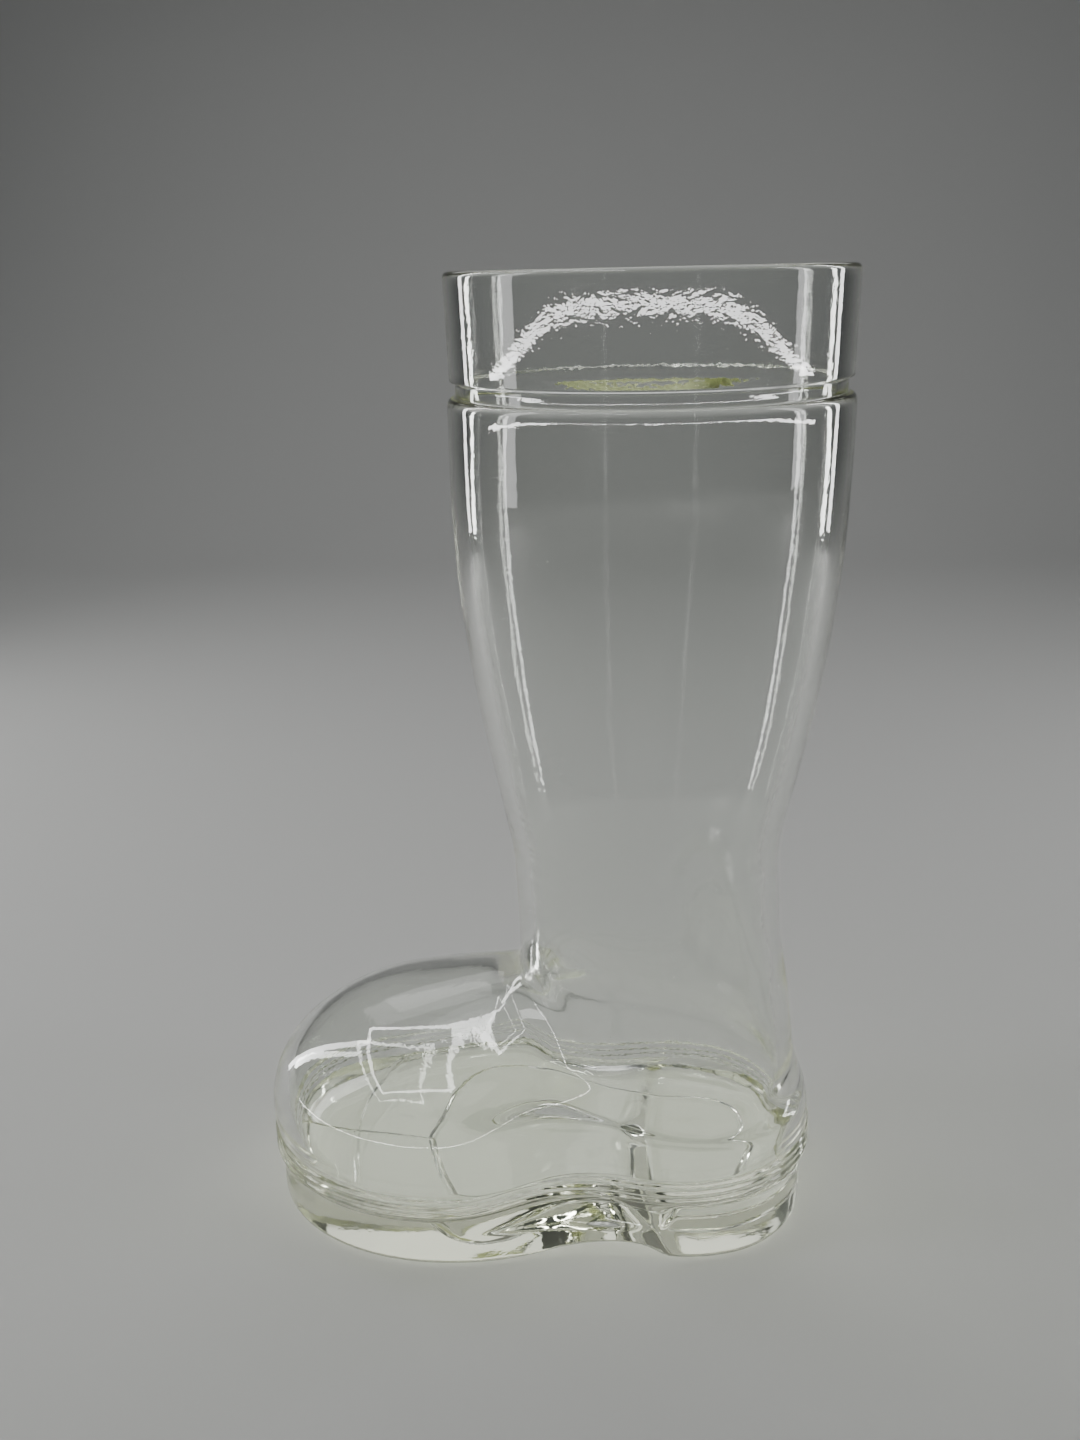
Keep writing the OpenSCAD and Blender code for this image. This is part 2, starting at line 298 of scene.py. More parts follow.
# %% [markdown]
# ## The foot
# The upper is drawn as upright lines, each in a plane through the leg's axis: up over the fine
# ridges of the welt, out and over the toe cap or the heel, into the rounded crease, and up to
# the round ankle. One set of rules serves the outside and, moved in by the wall, the inside.
# Inside, the floor ends at a fold in front and rises from there to the tip of the toe. The
# crease is a little softer than the drawing's, as hot glass draws its hollow edges round.

# %% Draw one upright line of the foot
COUNTER_IN = 0.62
VAMP_DIRECTION = pair(1, 0.2)
FOLD_SPREAD, FOLD_RISE = 0.12, 1.6 * MM


def upper_points(w, inset, start, dome, crease, shank):
    """Distance in from the welt, and height, of one upright line up to the ankle.

    w is the line's foot as seen from the leg's axis. dome, crease and shank are the steps of
    the line's three curves.
    """
    run = w.length - ANKLE_R + inset
    front = ease((1 - w.x / w.length) / 2)
    toe = max(0, -w.x / w.length) ** 3
    over = lerp(SIDE_OVER, TOE_OVER, toe)
    edge_z = lerp(QUARTER_Z, VAMP_Z, toe) - inset
    z0 = start[-1].y
    tip = pair(lerp(COUNTER_IN * run, run, front), lerp(COUNTER_Z, edge_z, front))
    slope = pair(0.38 * run, ANKLE_CUT_Z - COUNTER_Z) / MM
    into = slope.lerp(VAMP_DIRECTION, front).normalized()
    out = slope.normalized().lerp(pair(0, 1), front).normalized()
    bend = INSTEP_L + 1.5 * inset
    c0, c1 = tip - into * bend, tip + out * bend
    reach = lerp(0.4 * (COUNTER_Z - z0), 0.45 * run, front)
    swell = pair(-over * 2.2, lerp(z0, tip.y, lerp(0.35, 0.66, front)))
    upright = pair(run, lerp(c1.y, ANKLE_CUT_Z, 0.65))
    return (
        start
        + curve(pair(0, z0), swell, c0 - into * reach, c0, dome)
        + corner(c0, tip, c1, crease)[1:]
        + curve(c1, c1 + out * 0.35 * (ANKLE_CUT_Z - c1.y), upright, pair(run, ANKLE_CUT_Z), shank)
    )


def welt_ridges():
    """The rounded ridges of the welt, one over the other."""
    steps = 7
    return [
        pair(-WELT_OUT * math.sin(math.pi * k / steps), SOLE_H + (n + k / steps) * WELT_H)
        for n in range(WELT_COUNT)
        for k in range(1, steps + 1)
    ]


def floor_corner(w):
    """The round corner of the floor inside, which starts with a fold and rises at the toe."""
    at_toe = max(0, 1 - (1 + w.x / w.length) / FOLD_SPREAD)
    low, high = pair(lerp(FLOOR_R, FLOOR_TOE_L, at_toe), SOLE_H), pair(0, SOLE_H + FLOOR_R)
    return corner(low, pair(0, SOLE_H + FOLD_RISE * at_toe), high, 12)


# %% [markdown]
# ## The leg, the cuff and the rim
# From the ankle up the glass is round: a soft S out to the calf, a small shoulder, the groove,
# and the plain cuff with its rounded drinking rim. The real leg leans a hair towards the toe at
# the shin, as pressed boots do when they are let out of the mould warm.

# %% Draw the round part's outside and inside
SOFT_EDGE, GROOVE_FILLET = 0.5 * MM, 0.6 * MM
RIM_STEPS = 8
# heights, and how far the glass's middle line lies towards the toe there, in millimetres
LEAN = (
    (0, 0), (50, 0), (66, 0.4), (90, 1.2), (110, 0.9), (136, 0.6), (160, 0.3), (182, 0), (220, 0),
)


def leg_outside():
    """From the ankle up the calf, over the shoulder, through the groove and up the cuff."""
    ankle, calf = pair(ANKLE_R, ANKLE_Z), pair(CALF_R, CALF_Z)
    handles = pair(ANKLE_R, ANKLE_Z + ANKLE_EASE), pair(CALF_R, CALF_Z - CALF_EASE)
    points = curve(ankle, *handles, calf, 64, 0)
    points += line(calf, pair(CALF_R, SHOULDER_Z), 5)
    groove_r, cuff_r = CALF_R - GROOVE_DEPTH, RIM_R - CUFF_TAPER

    def round_off(x, z, end, steps):
        points.extend(corner(points[-1], pair(x, z), end, steps)[1:])

    round_off(CALF_R, GROOVE_Z, pair(groove_r + SOFT_EDGE, GROOVE_Z), 9)
    round_off(groove_r, GROOVE_Z, pair(groove_r, GROOVE_Z + GROOVE_FILLET), 4)
    points += line(points[-1], pair(groove_r, CUFF_Z - GROOVE_FILLET), 3)
    round_off(groove_r, CUFF_Z, pair(groove_r + SOFT_EDGE, CUFF_Z), 4)
    points += line(points[-1], pair(cuff_r - SOFT_EDGE, CUFF_Z), 1)
    round_off(cuff_r, CUFF_Z, pair(cuff_r, CUFF_Z + SOFT_EDGE), 4)
    points += line(points[-1], pair(RIM_R, BOOT_H - LIP_R), 14)
    return points


def rim():
    """The drinking rim, from the outside over the top to the inside."""
    turns = [math.pi / 2 * i / RIM_STEPS for i in range(RIM_STEPS + 1)]
    outer, inner, z = RIM_R - LIP_R, RIM_R - LIP_T + LIP_R, BOOT_H - LIP_R
    points = [pair(outer + LIP_R * math.cos(a), z + LIP_R * math.sin(a)) for a in turns[1:]]
    points += [pair(inner - LIP_R * math.sin(a), z + LIP_R * math.cos(a)) for a in turns]
    return points


def leg_inside():
    """From the rim down the bore to the ankle."""
    bore, ankle = CALF_R - WALL, ANKLE_R - WALL
    points = line(pair(RIM_R - LIP_T, BOOT_H - LIP_R), pair(bore, CUFF_Z - GROOVE_H / 2), 10)
    points += line(points[-1], pair(bore, CALF_Z), 5)
    handles = pair(bore, CALF_Z - CALF_EASE), pair(ankle, ANKLE_Z + ANKLE_EASE)
    points += curve(pair(bore, CALF_Z), *handles, pair(ankle, ANKLE_Z), 56)
    return points


def lean(z):
    """How far the glass's middle line lies towards the toe at a height."""
    for (z0, a), (z1, b) in zip(LEAN, LEAN[1:]):
        if z <= z1 * MM:
            return lerp(a, b, ease((z / MM - z0) / (z1 - z0))) * MM
    return 0.0


# %% [markdown]
# ## One closed skin
# Each step round the glass now gives one long line, from the middle of the underside out, up,
# over the rim and down inside to the middle of the floor. Neighbouring lines are joined by
# four-sided faces. A mark on every point says whether it lies outside or inside.

# %% Join the lines into the skin
FLOOR_STEPS = 14


def meridian(t, side):
    """One whole line of the skin, and how many of its points lie outside."""
    bore = ANKLE_R - WALL
    w, v = (pair(p.x, side * p.y) for p in (welt_point(t), welt_point(t, WALL)))

    def upright(start, rows):
        return [(*(start - start.normalized() * p.x), p.y) for p in rows]

    def round_the_leg(rows):
        return [(*(w.normalized() * p.x), p.y) for p in rows]

    points = sole_points(t, side)
    points += upright(w, upper_points(w, 0.0, welt_ridges(), 46, 10, 12))
    points += round_the_leg(line(pair(ANKLE_R, ANKLE_CUT_Z), pair(ANKLE_R, ANKLE_Z), 6)[:-1])
    points += round_the_leg(leg_outside() + rim()[:RIM_STEPS])
    outside = len(points)
    points += round_the_leg(rim()[RIM_STEPS:] + leg_inside())
    points += round_the_leg(line(pair(bore, ANKLE_Z), pair(bore, ANKLE_CUT_Z), 5)[:-1])
    points += upright(v, upper_points(v, WALL, floor_corner(v), 30, 9, 9))[::-1]
    floor_edge = points[-1]
    for i in range(1, FLOOR_STEPS):
        s = math.cos(math.pi / 2 * i / FLOOR_STEPS)
        points.append((floor_edge[0] * s, floor_edge[1] * s, SOLE_H))
    return [(x - lean(z), y, z) for x, y, z in points], outside


def make_skin(name):
    """The whole skin as a mesh object, closed by a fan under the sole and one on the floor."""
    lines = [meridian(t, 1) for t in half_steps]
    lines += [meridian(t, -1) for t in half_steps[-2:0:-1]]
    outside = lines[0][1]
    rows = len(lines[0][0])
    n = len(lines)
    points = [(x + LEG_X, y, z) for points, _ in lines for x, y, z in points]
    faces = []
    for i in range(n):
        a, b = i * rows, (i + 1) % n * rows
        faces += [(a + j, b + j, b + j + 1, a + j + 1) for j in range(rows - 1)]
    under, floor = len(points), len(points) + 1
    points += [(LEG_X, 0, arch(0, 0)), (LEG_X, 0, SOLE_H)]
    faces += [(under, (i + 1) % n * rows, i * rows) for i in range(n)]
    faces += [(floor, i * rows + rows - 1, (i + 1) % n * rows + rows - 1) for i in range(n)]
    mesh = bpy.data.meshes.new(name)
    mesh.from_pydata(points, [], faces)
    inside = mesh.attributes.new("inside", "FLOAT", "POINT")
    marks = [0.0 if j < outside else 1.0 for _ in range(n) for j in range(rows)] + [0.0, 1.0]
    inside.data.foreach_set("value", marks)
    mesh.shade_smooth()
    mesh.update()
    skin = bpy.data.objects.new(name, mesh)
    bpy.context.scene.collection.objects.link(skin)
    return skin


boot = make_skin("boot_glass")
print(f"skin: {len(boot.data.vertices)} points, {len(boot.data.polygons)} faces")

# %% [markdown]
# ## Sockets that do sums
# A finish is a recipe of shader nodes. This small class wraps a node's output so that plain
# sums in the text become Math nodes, and one method makes every other node, with its settings
# first and then its values or links.

# %% Make the recipe helper


class Value:
    """A socket that can be added, taken away, multiplied and divided."""

    def __init__(self, recipe, socket):
        self.recipe, self.socket = recipe, socket

    def maths(self, operation, *others):
        values = dict(enumerate((self, *others)))
        return self.recipe.node("ShaderNodeMath", {"operation": operation}, values)

    def __add__(self, other):
        return self.maths("ADD", other)

    def __sub__(self, other):
        return self.maths("SUBTRACT", other)

    def __rsub__(self, other):
        return (self * -1).maths("ADD", other)

    def __mul__(self, other):
        return self.maths("MULTIPLY", other)

    def __truediv__(self, other):
        return self.maths("DIVIDE", other)

    def __pow__(self, other):
        return self.maths("POWER", other)

    __radd__ = __add__
    __rmul__ = __mul__

    def size(self):
        return self.maths("ABSOLUTE")

    def held(self, low, high):
        """1 at high, 0 at low, and a soft step between."""
        soft = {"interpolation_type": "SMOOTHSTEP"}
        return self.recipe.node("ShaderNodeMapRange", soft, {0: self, 1: low, 2: high})

    def within(self, low, high, end, gone):
        """1 from high to end, 0 under low and over gone, and soft steps between."""
        return self.held(low, high) * (1 - self.held(end, gone))


class Recipe:
    """One material, built from nodes."""

    def __init__(self, name):
        self.material = bpy.data.materials.new(name)
        self.material.use_nodes = True
        self.tree = self.material.node_tree
        self.tree.nodes.clear()

    def node(self, kind, settings=None, inputs=None, output=0):
        made = self.tree.nodes.new(kind)
        for key, setting in (settings or {}).items():
            setattr(made, key, setting)
        for key, value in (inputs or {}).items():
            if isinstance(value, Value):
                self.tree.links.new(value.socket, made.inputs[key])
            else:
                made.inputs[key].default_value = value
        return Value(self, made.outputs[output])

    def other(self, value, output):
        """Another output of the node behind a value."""
        return Value(self, value.socket.node.outputs[output])

    def noise(self, place, scale, detail=2.0, roughness=0.5):
        settings = {"Vector": place, "Scale": scale, "Detail": detail, "Roughness": roughness}
        return self.node("ShaderNodeTexNoise", inputs=settings)

    def finish(self, surface, volume=None):
        ends = self.tree.nodes.new("ShaderNodeOutputMaterial").inputs
        self.tree.links.new(surface.socket, ends["Surface"])
        if volume:
            self.tree.links.new(volume.socket, ends["Volume"])
        return self.material


# %% [markdown]
# ## The line of the mould's bottom plate
# The bottom plate of the mould leaves a raised line under the foot. Its outline is a curve of
# distance against direction, read off a list of points, so that the finish can tell how far
# any place is from the line.

# %% Draw the plate's outline as a curve
PLATE_X, PLATE_SPAN = -14 * MM, 50
# the outline on the +Y side, in millimetres from the leg's axis and from the middle plane
PLATE = (
    (24.2, 0), (23.3, 5), (21, 10.5), (18, 14.5), (14, 17.3), (8, 18), (0, 17), (-8, 16.6),
    (-15, 17.3), (-21, 19.2), (-26, 22), (-31, 24.4), (-36, 25.8), (-41, 25.6), (-45, 22),
    (-47.8, 17), (-50.5, 9.5), (-52.5, 0),
)


def ridge(distance, width, height):
    """A thin raised line where distance is near zero."""
    return (1 - distance.size().held(0.0, width)) * height


def plate_radius(r, direction):
    """Distance of the bottom plate's outline from its middle, for a direction from 0 to 1."""
    made = r.node("ShaderNodeFloatCurve", inputs={"Value": direction})
    curve_map = made.socket.node.mapping
    line_points = curve_map.curves[0].points
    spots = []
    for x, y in PLATE:
        along = x - PLATE_X / MM
        spots.append((math.atan2(y, along) / math.pi, math.hypot(along, y) / PLATE_SPAN))
    while len(line_points) < len(spots):
        line_points.new(0.5, 0.5)
    for point, spot in zip(line_points, spots):
        point.location = spot
    curve_map.update()
    return made * (PLATE_SPAN * MM)


def plate_line(r, x, y):
    """Distance from the plate's outline, measured square to it."""
    along, across, step = x - PLATE_X, y.size(), 0.01
    direction = across.maths("ARCTAN2", along) / math.pi
    radius = plate_radius(r, direction)
    slant = (plate_radius(r, direction + step) - radius) / (radius * (step * math.pi))
    return ((along**2.0 + across**2.0) ** 0.5 - radius) / (slant**2.0 + 1.0) ** 0.5


print(f"bottom plate {PLATE[0][0] - PLATE[-1][0]:.1f} mm long")

# %% [markdown]
# ## The glass
# Pressed soda-lime glass is clear and glossy, with a pale yellow-green tint that only shows
# where light goes a long way through it, as in the sole. So the tint is an absorption inside
# the skin and not a colour on it. The surface keeps traces of its making: a fine grain that
# makes bright reflections sparkle, strongest on the cuff, slow waves on the leg, short chill
# wrinkles above the ankle, and raised lines where the halves and the bottom plate of the mould
# met.

# %% Mix the glass
FLOOR_FOLD_R = 70.7 * MM


def glass_material():
    r = Recipe("pressed_glass")
    place = r.node("ShaderNodeTexCoord", output="Object")
    x = r.node("ShaderNodeSeparateXYZ", inputs={0: place})
    y, z = r.other(x, "Y"), r.other(x, "Z")
    x = x - LEG_X
    # the cuff's hammered ripple
    on_cuff = z.within(CUFF_Z + 1 * MM, CUFF_Z + 4 * MM, BOOT_H - 4 * MM, BOOT_H - 2 * MM)
    height = r.noise(place, 620.0, 2.0, 0.6) * on_cuff * (0.010 * MM)
    # slow waves up to the groove, weaker on the calf
    depth = (1 - z.held(70 * MM, 120 * MM) * 0.7) * (1 - z.held(GROOVE_Z - 8 * MM, GROOVE_Z))
    height = height + r.noise(place, 60.0, 2.0, 0.45) * depth * (0.10 * MM)
    # chill wrinkles above the ankle, in patches
    squeezed = r.node("ShaderNodeMapping", inputs={"Vector": place, "Scale": (60.0, 60.0, 420.0)})
    patch = r.noise(place, 38.0, 0.0).held(0.45, 0.62)
    at_ankle = z.within(80 * MM, 90 * MM, 102 * MM, 116 * MM) * patch
    height = height + r.noise(squeezed, 1.0, 1.0) * at_ankle * (0.05 * MM)
    # fine skin of the pressed surface
    height = height + r.noise(place, 900.0, 1.0) * (0.006 * MM)
    # mould seams: the two halves, and the bottom plate with the line along its middle
    on_leg = z.within(80 * MM, 90 * MM, GROOVE_Z - 6 * MM, GROOVE_Z - 3 * MM)
    halves = ridge(y, 0.5 * MM, 0.05 * MM) * on_leg
    low = 1 - z.held(6.5 * MM, 7.5 * MM)
    bottom = ridge(plate_line(r, x, y), 1.1 * MM, 0.55 * MM) * low
    centre = ridge(y, 0.8 * MM, 0.3 * MM) * low * (1 - x.held(-53 * MM, -52 * MM))
    # the fold where the floor inside ends, in front
    on_floor = z.within(11.7 * MM, 11.9 * MM, 12.3 * MM, 12.6 * MM)
    from_fold = (x**2.0 + y**2.0) ** 0.5 - FLOOR_FOLD_R
    fold = ridge(from_fold, 1.0 * MM, 0.5 * MM) * (on_floor * (1 - x.held(-62 * MM, -58 * MM)))
    height = height + halves + bottom + centre + fold
    bump = r.node("ShaderNodeBump", inputs={"Strength": 1.0, "Distance": 1.0, "Height": height})
    # handling marks: a breath of roughness in soft patches
    rough = r.noise(place, 45.0, 5.0, 0.6).held(0.52, 0.78) * 0.035 + 0.004
    look = {"Base Color": (0.985, 0.995, 0.985, 1.0), "Roughness": rough, "IOR": 1.51}
    look |= {"Transmission Weight": 1.0, "Normal": bump}
    skin = r.node("ShaderNodeBsdfPrincipled", inputs=look)
    tint = {"Color": (0.78, 0.82, 0.42, 1.0), "Density": 5.0}
    body = r.node("ShaderNodeVolumeAbsorption", inputs=tint)
    # a light's own rays pass straight through with a slight loss, so that the glass throws the
    # pale shadow of clear glass and the floor under the arch is lit
    passing = r.node("ShaderNodeBsdfTransparent", inputs={"Color": (0.90, 0.91, 0.88, 1.0)})
    shadow_ray = r.node("ShaderNodeLightPath", output="Is Shadow Ray")
    skin = r.node("ShaderNodeMixShader", inputs={0: shadow_ray, 1: skin, 2: passing})
    return r.finish(skin, body)


glass = glass_material()
print("glass nodes:", len(glass.node_tree.nodes))

# %% [markdown]
# ## Tools for node groups
# Geometry nodes do to meshes what shader nodes do to finishes. These small functions add a node
# with its values, end each group in real geometry with its material, and keep what a group
# makes as a plain mesh.

# %% Make the tools for node groups


def group_with(name, sockets):
    """A new node group whose inputs are listed as name, kind and value."""
    tree = bpy.data.node_groups.new(name, "GeometryNodeTree")
    tree.interface.new_socket("Geometry", in_out="OUTPUT", socket_type="NodeSocketGeometry")
    tree.interface.new_socket("Geometry", in_out="INPUT", socket_type="NodeSocketGeometry")
    for label, kind, value in sockets:
        socket = tree.interface.new_socket(label, in_out="INPUT", socket_type=kind)
        if value is not None:
            socket.default_value = value
    return tree


def add(tree, kind, settings=None, inputs=None):
    """A node with its settings first, then its values or links by name or number."""
    node = tree.nodes.new(kind)
    for key, setting in (settings or {}).items():
        setattr(node, key, setting)
    for key, value in (inputs or {}).items():
        if isinstance(value, bpy.types.NodeSocket):
            tree.links.new(value, node.inputs[key])
        else:
            node.inputs[key].default_value = value
    return node


def maths(tree, operation, *values):
    return add(tree, "ShaderNodeMath", {"operation": operation}, dict(enumerate(values))).outputs[0]


def compare(tree, operation, *values):
    kind = {"operation": operation}
    return add(tree, "FunctionNodeCompare", kind, dict(enumerate(values))).outputs[0]


def both(tree, a, b):
    return add(tree, "FunctionNodeBooleanMath", {"operation": "AND"}, {0: a, 1: b}).outputs[0]


def held(tree, value, low, high):
    """1 at high, 0 at low, and a soft step between."""
    soft = {"interpolation_type": "SMOOTHSTEP"}
    return add(tree, "ShaderNodeMapRange", soft, {0: value, 1: low, 2: high}).outputs[0]


def height_here(tree):
    place = add(tree, "GeometryNodeInputPosition").outputs[0]
    return add(tree, "ShaderNodeSeparateXYZ", None, {0: place}).outputs["Z"]


def inside_mark(tree):
    """0 outside and 1 inside, as the skin was marked."""
    kind = {"data_type": "FLOAT"}
    named = add(tree, "GeometryNodeInputNamedAttribute", kind, {"Name": "inside"})
    return named.outputs["Attribute"]


def end_with(tree, geometry, finish):
    """The end of every group: real geometry with its material."""
    real = add(tree, "GeometryNodeRealizeInstances", None, {0: geometry}).outputs[0]
    look = {"Geometry": real, "Material": finish}
    done = add(tree, "GeometryNodeSetMaterial", None, look).outputs[0]
    add(tree, "NodeGroupOutput", None, {0: done})
    return tree


def socket_id(tree, label):
    items = tree.interface.items_tree
    return next(s.identifier for s in items if s.name == label and s.in_out == "INPUT")


def bake(obj, tree, values):
    """Runs a node group on an object with the given inputs and keeps the result as a mesh."""
    modifier = obj.modifiers.new(tree.name, "NODES")
    modifier.node_group = tree
    for label, value in values.items():
        modifier[socket_id(tree, label)] = value
    bpy.context.view_layer.update()
    shaped = obj.evaluated_get(bpy.context.evaluated_depsgraph_get())
    mesh = bpy.data.meshes.new_from_object(shaped)
    obj.modifiers.remove(modifier)
    obj.data = mesh
    mesh.name = obj.name
    mesh.shade_smooth()
    return obj


print("tools for node groups are ready")

# %% [markdown]
# ## The waviness of the walls
# No pressed wall is perfectly even. Geometry nodes push the skin in by a slow noise, differently
# outside and inside, so that the wall's thickness changes and bends what is seen through it.
# The push fades out at the tread, which has to stand flat, and below the groove, because the
# cuff is true. Named inputs hold the size and the depth, and the noise has a fixed seed.

# %% Build the waviness
WAVE_DEPTH, WAVE_SEED = 0.28 * MM, 3.0
APART = 7.3
FOOT_FADE, RIM_FADE = 6 * MM, 14 * MM


def waviness_tree():
    tree = group_with(
        "wavy_wall",
        [
            ("Wave scale", "NodeSocketFloat", 34.0),
            ("Wave depth", "NodeSocketFloat", WAVE_DEPTH),
            ("Foot height", "NodeSocketFloat", 4 * MM),
            ("Rim height", "NodeSocketFloat", GROOVE_Z - 2 * MM),
            ("Seed", "NodeSocketFloat", WAVE_SEED),
            ("Finish", "NodeSocketMaterial", None),
        ],
    )
    given = add(tree, "NodeGroupInput").outputs
    place = add(tree, "GeometryNodeInputPosition").outputs[0]
    height = height_here(tree)
    # the fourth place in the noise moves on inside, so the two sides wave differently
    moved = maths(tree, "MULTIPLY_ADD", inside_mark(tree), APART, given["Seed"])
    noise = add(
        tree,
        "ShaderNodeTexNoise",
        {"noise_dimensions": "4D"},
        {"Vector": place, "W": moved, "Scale": given["Wave scale"], "Detail": 1.0},
    ).outputs[0]
    foot, top = given["Foot height"], given["Rim height"]
    above = held(tree, height, foot, maths(tree, "ADD", foot, FOOT_FADE))
    below = held(tree, height, top, maths(tree, "SUBTRACT", top, RIM_FADE))
    fade = maths(tree, "MULTIPLY", above, below)
    inwards = maths(tree, "MULTIPLY", given["Wave depth"], -1.0)
    push = maths(tree, "MULTIPLY", fade, maths(tree, "MULTIPLY", noise, inwards))
    normal = add(tree, "GeometryNodeInputNormal").outputs[0]
    scaled = {0: normal, "Scale": push}
    offset = add(tree, "ShaderNodeVectorMath", {"operation": "SCALE"}, scaled).outputs[0]
    moved_skin = {"Geometry": given["Geometry"], "Offset": offset}
    pushed = add(tree, "GeometryNodeSetPosition", None, moved_skin).outputs[0]
    return end_with(tree, pushed, given["Finish"])


bake(boot, waviness_tree(), {"Finish": glass, "Wave depth": WAVE_DEPTH, "Seed": WAVE_SEED})
print("waves pressed in,", len(boot.data.polygons), "faces,", len(boot.data.materials), "material")

# %% [markdown]
# ## Dust
# A glass that has stood on a table carries specks of dust. Geometry nodes scatter points on the
# outside with a fixed seed and put a tiny flat flake on each, turned as the skin lies there.
# The flakes share one small mesh of twenty faces, so a few hundred of them weigh little.

# %% Scatter the dust
DUST_SEED = 11
FLAKE_WIDTH, FLAKE_HEIGHT = 0.6, 0.25
FLAKE_FACES = 20


def dust_material():
    r = Recipe("dust")
    place = r.node("ShaderNodeTexCoord", output="Object")
    shade = r.noise(place, 400.0)
    greys = {0: shade, 6: (0.55, 0.55, 0.52, 1.0), 7: (0.95, 0.95, 0.92, 1.0)}
    colour = r.node("ShaderNodeMix", {"data_type": "RGBA"}, greys, output=2)
    look = {"Base Color": colour, "Roughness": 0.9}
    return r.finish(r.node("ShaderNodeBsdfPrincipled", inputs=look))


def dust_tree():
    tree = group_with(
        "dust",
        [
            ("Specks per square metre", "NodeSocketFloat", 5000.0),
            ("Smallest", "NodeSocketFloat", 0.04 * MM),
            ("Largest", "NodeSocketFloat", 0.16 * MM),
            ("Seed", "NodeSocketInt", DUST_SEED),
            ("Finish", "NodeSocketMaterial", None),
        ],
    )
    given = add(tree, "NodeGroupInput").outputs
    height = height_here(tree)
    outside = compare(tree, "LESS_THAN", inside_mark(tree), 0.5)
    above_welt = compare(tree, "GREATER_THAN", height, 14 * MM)
    below_rim = compare(tree, "LESS_THAN", height, BOOT_H - 3 * MM)
    where = {
        "Mesh": given["Geometry"],
        "Selection": both(tree, both(tree, outside, above_welt), below_rim),
        "Density": given["Specks per square metre"],
        "Seed": given["Seed"],
    }
    points = add(tree, "GeometryNodeDistributePointsOnFaces", None, where).outputs
    ball = {"Radius": 1.0, "Subdivisions": 1}
    flake = add(tree, "GeometryNodeMeshIcoSphere", None, ball).outputs[0]
    sizes = {2: given["Smallest"], 3: given["Largest"], "Seed": given["Seed"]}
    size = add(tree, "FunctionNodeRandomValue", {"data_type": "FLOAT"}, sizes).outputs[1]
    width = maths(tree, "MULTIPLY", size, FLAKE_WIDTH)
    thickness = maths(tree, "MULTIPLY", size, FLAKE_HEIGHT)
    flat = add(tree, "ShaderNodeCombineXYZ", None, {0: size, 1: width, 2: thickness}).outputs[0]
    each = {
        "Points": points["Points"],
        "Instance": flake,
        "Rotation": points["Rotation"],
        "Scale": flat,
    }
    flakes = add(tree, "GeometryNodeInstanceOnPoints", None, each).outputs[0]
    return end_with(tree, flakes, given["Finish"])


dust = bpy.data.objects.new("dust_specks", boot.data.copy())
bpy.context.scene.collection.objects.link(dust)
bake(dust, dust_tree(), {"Finish": dust_material(), "Seed": DUST_SEED})
print("dust specks:", len(dust.data.polygons) // FLAKE_FACES)

# %% [markdown]
# ## What rides on what
# The glass is one stiff body. Its skin stands for all four solids of the drawing.

# %% Tie the pieces to the drawing
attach(boot, "root")
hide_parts("cuff", "leg", "foot", "sole")
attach(dust, "root")

# %% [markdown]
# ## The floor
# A plain pale floor that curves up behind the glass, as a photographer's paper does. The glass
# stands a hair above it, because two faces in one place confuse the light.

# %% Lay the paper sweep
PAPER_FRONT, PAPER_BEND_Y, PAPER_BEND_R, PAPER_TOP = -1.6, 0.75, 0.5, 1.6
PAPER_HALF_W, PAPER_DROP, PAPER_STEPS = 2.2, 0.15 * MM, 24


def sweep():
    profile = [(PAPER_FRONT, 0.0), (PAPER_BEND_Y, 0.0)]
    for i in range(1, PAPER_STEPS + 1):
        a = math.pi / 2 * i / PAPER_STEPS
        y = PAPER_BEND_Y + PAPER_BEND_R * math.sin(a)
        profile.append((y, PAPER_BEND_R - PAPER_BEND_R * math.cos(a)))
    profile.append((PAPER_BEND_Y + PAPER_BEND_R, PAPER_TOP))
    sides = (-PAPER_HALF_W, PAPER_HALF_W)
    points = [(x, y, z - PAPER_DROP) for x in sides for y, z in profile]
    n = len(profile)
    mesh = bpy.data.meshes.new("paper")
    mesh.from_pydata(points, [], [(i, n + i, n + i + 1, i + 1) for i in range(n - 1)])
    mesh.shade_smooth()
    paper = bpy.data.objects.new("paper", mesh)
    bpy.context.scene.collection.objects.link(paper)
    r = Recipe("pale_paper")
    look = {"Base Color": (0.44, 0.44, 0.43, 1.0), "Roughness": 0.75, "Specular IOR Level": 0.25}
    mesh.materials.append(r.finish(r.node("ShaderNodeBsdfPrincipled", inputs=look)))
    return paper


paper = sweep()
print("the paper curves up", PAPER_BEND_Y, "m behind the glass")

# %% [markdown]
# ## The light
# Glass is seen by what it mirrors and bends. A wide soft box overhead and one high at the back
# light the paper and the thick sole. Two upright strips behind the glass, left and right, draw
# the bright lines near the leg's edges, because an upright round wall mirrors what stands beside
# and behind it, and two boxes at the sides give the softer patches. Thin strips low round the
# front make the sparkling arc on the cuff, and a frame of strips overhead the bright frame on
# the toe. The room between them stays dim so that the edges of the glass turn dark. The low
# strips and the side boxes are hidden from rays that have passed through the glass, because
# they would show through it as white panels.

# %% Make the lamps
LAMP_AIM_DROP = 0.12


def lamp(name, width, height, power, place, seen_through=True):
    """A flat lamp. One that isn't seen through the glass still shines on its outer face."""
    data = bpy.data.lights.new(name, "AREA")
    data.shape = "RECTANGLE"
    data.size, data.size_y, data.energy = width, height, power
    made = bpy.data.objects.new(name, data)
    made.matrix_world = place
    made.visible_transmission = seen_through
    bpy.context.scene.collection.objects.link(made)


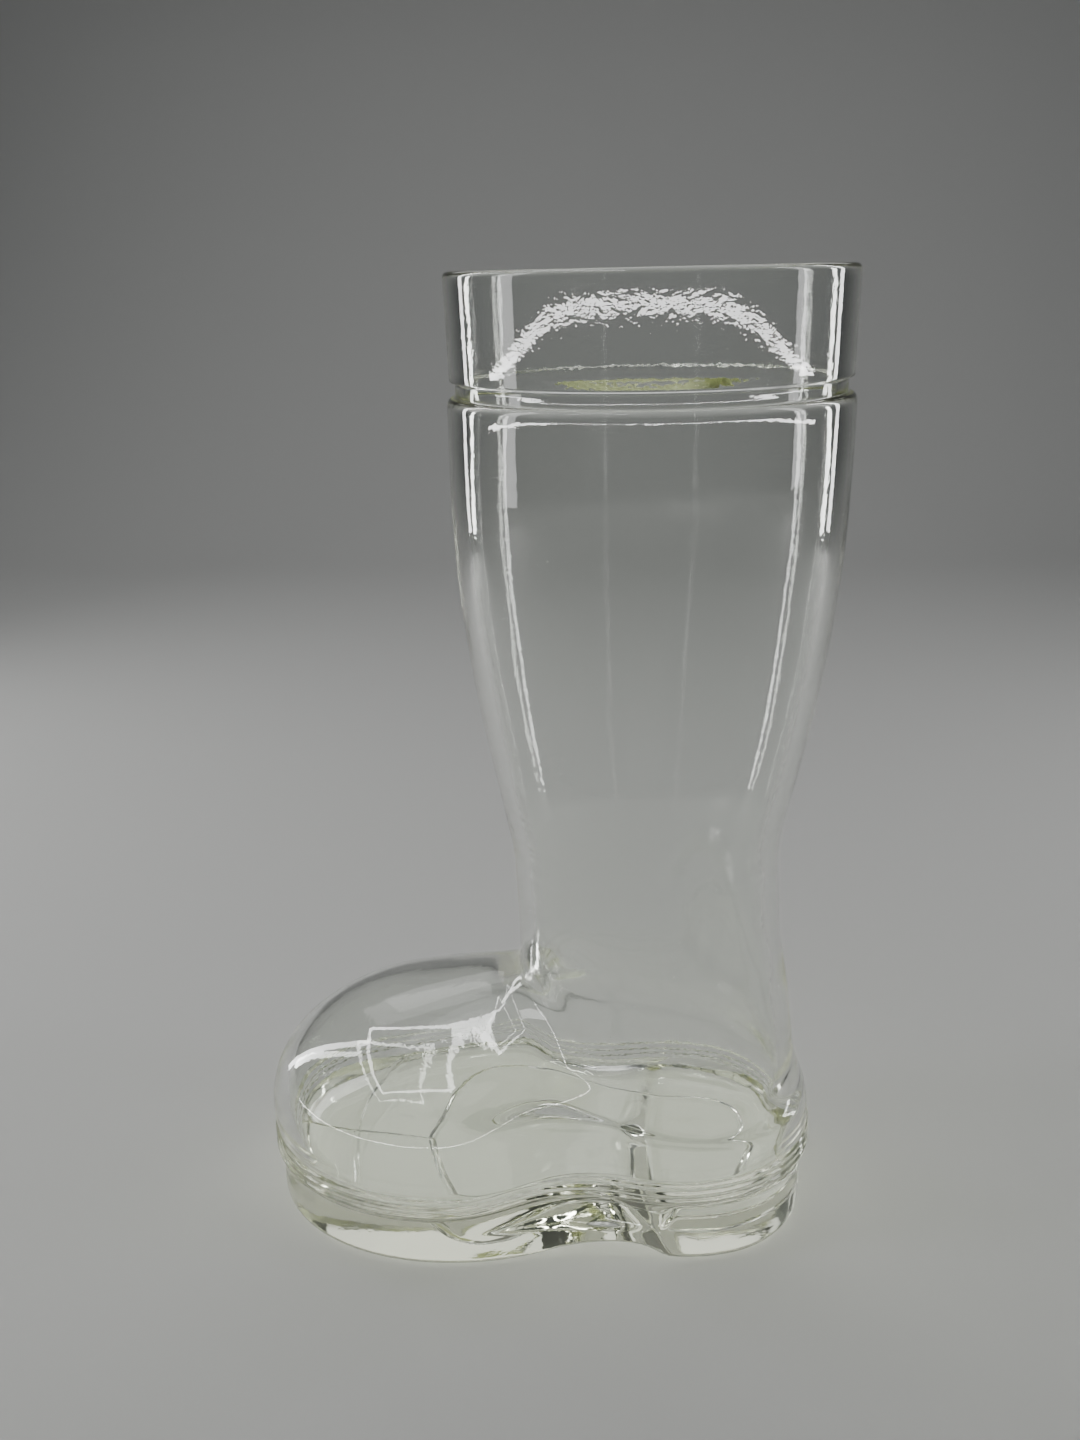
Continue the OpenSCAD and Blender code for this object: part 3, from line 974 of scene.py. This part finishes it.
def soft_box(name, place, aim, width, height, power, seen_through=True):
    """A broad lamp at a place, turned towards another place."""
    turn = (Vector(aim) - Vector(place)).to_track_quat("-Z", "Y").to_matrix().to_4x4()
    lamp(name, width, height, power, Matrix.Translation(place) @ turn, seen_through)


def strips(name, corners, thickness, glow, seen_through=True):
    """Thin lamps from corner to corner, all equally bright and turned towards the glass."""
    for i, (start, end) in enumerate(zip(corners, corners[1:])):
        start, end = Vector(start), Vector(end)
        along = (end - start).normalized()
        back = (start + end) / 2 - Vector((0, 0, LAMP_AIM_DROP))
        back = (back - along * back.dot(along)).normalized()
        turn = Matrix((along, back.cross(along), back)).transposed().to_4x4()
        length = (end - start).length
        power = glow * math.pi * length * thickness
        place = Matrix.Translation((start + end) / 2) @ turn
        lamp(f"{name}_{i}", length, thickness, power, place, seen_through)


print("lamps are ready to hang")

# %% Hang the lights
soft_box("overhead", (0.05, 0.45, 1.15), (0, 0.3, 0), 1.0, 0.8, 1.8)
soft_box("back_box", (0.0, 1.05, 0.78), (0, 0, 0.05), 1.3, 0.40, 1.3)
soft_box("left_strip", (-0.50, 0.33, 0.30), (0, 0, 0.15), 0.045, 0.58, 0.8)
soft_box("right_strip", (0.52, 0.28, 0.30), (0, 0, 0.15), 0.045, 0.58, 0.8)
soft_box("left_box", (-0.62, -0.10, 0.36), (0, 0, 0.12), 0.12, 0.7, 1.3, seen_through=False)
soft_box("right_box", (0.66, -0.05, 0.36), (0, 0, 0.12), 0.10, 0.7, 1.1, seen_through=False)

ARC_R, ARC_Z, ARC_DROP = 0.95, 0.128, 0.042
ARC_FLAT, ARC_EASE = 0.7, 1.1
arc = []
for degrees in range(-98, 99, 14):
    a = math.radians(degrees)
    z = ARC_Z - ARC_DROP * ease((abs(a) - ARC_FLAT) / ARC_EASE)
    arc.append((ARC_R * math.sin(a), -ARC_R * math.cos(a), z))
strips("low_strip", arc, 0.012, 22, seen_through=False)

FRAME_Z = 0.6
toe_frame = ((-0.50, 0.50), (-0.34, -0.22), (-0.05, -0.21), (-0.16, 0.08), (-0.50, 0.50))
strips("top_frame", [(x, y, FRAME_Z) for x, y in toe_frame], 0.014, 12)

# %% [markdown]
# ## The room
# What the lamps leave unlit is a dim, cool room. Light that is caught in the thick sole turns
# many times before it gets out, so it is followed further than is usual.

# %% Dim the room and follow the light
BOUNCES = 40
world = bpy.data.worlds.new("room")
world.use_nodes = True
background = world.node_tree.nodes["Background"].inputs
background["Color"].default_value = (0.80, 0.86, 0.92, 1.0)
background["Strength"].default_value = 0.10
scene = bpy.context.scene
scene.world = world
scene.cycles.max_bounces = BOUNCES
scene.cycles.transmission_bounces = BOUNCES
scene.cycles.glossy_bounces = BOUNCES
scene.view_settings.view_transform = "AgX"
scene.view_settings.look = "AgX - Medium High Contrast"
scene.view_settings.exposure = 0.0
print("light is followed through", BOUNCES, "turns")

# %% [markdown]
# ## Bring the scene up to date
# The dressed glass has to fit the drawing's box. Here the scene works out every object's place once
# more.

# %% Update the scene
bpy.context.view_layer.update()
